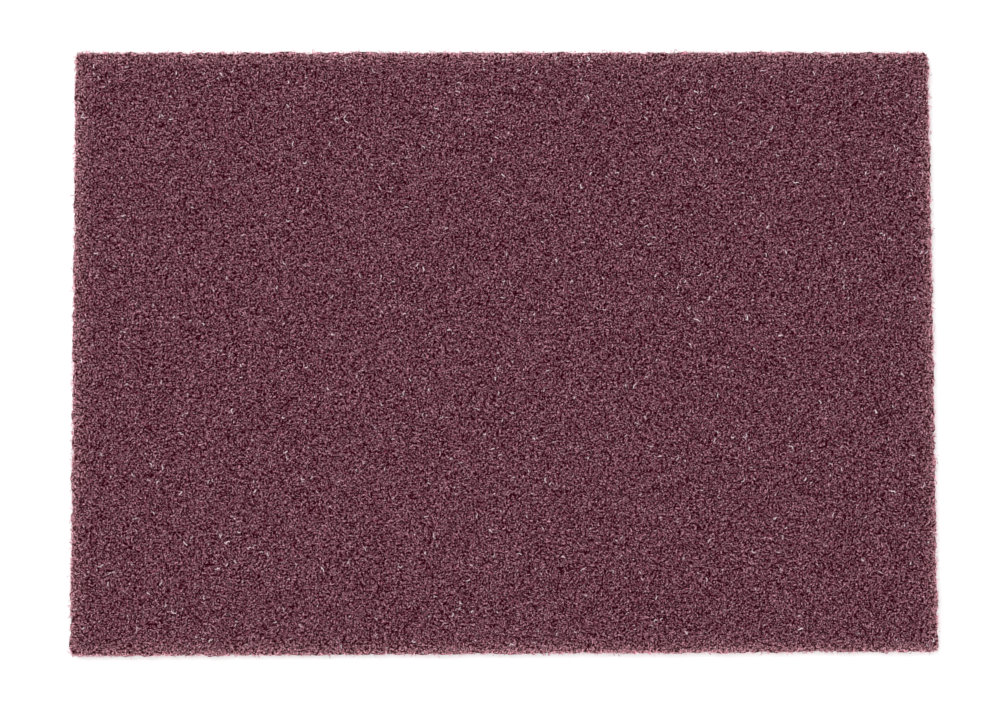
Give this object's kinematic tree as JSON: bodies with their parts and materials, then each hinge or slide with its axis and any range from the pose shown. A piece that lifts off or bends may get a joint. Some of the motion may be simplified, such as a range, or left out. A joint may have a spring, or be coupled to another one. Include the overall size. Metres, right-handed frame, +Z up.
{
  "type": "floor stripping pad",
  "caption": "Rectangular maroon nonwoven abrasive pad for stripping floor finish, one thin lofty sheet with ragged cut edges.",
  "frame": {"origin": "middle of the flat underside", "axes": "+X along the long side, +Y along the short side, +Z up through the thickness"},
  "size_m": [0.508, 0.3556, 0.0094],
  "materials": {
    "abrasive_web": "open web of crimped fibre bonded with maroon resin and mineral grain, matt with small sparkles"
  },
  "bodies": {
    "root": {"stripping_pad": "abrasive_web"}
  },
  "joints": []
}
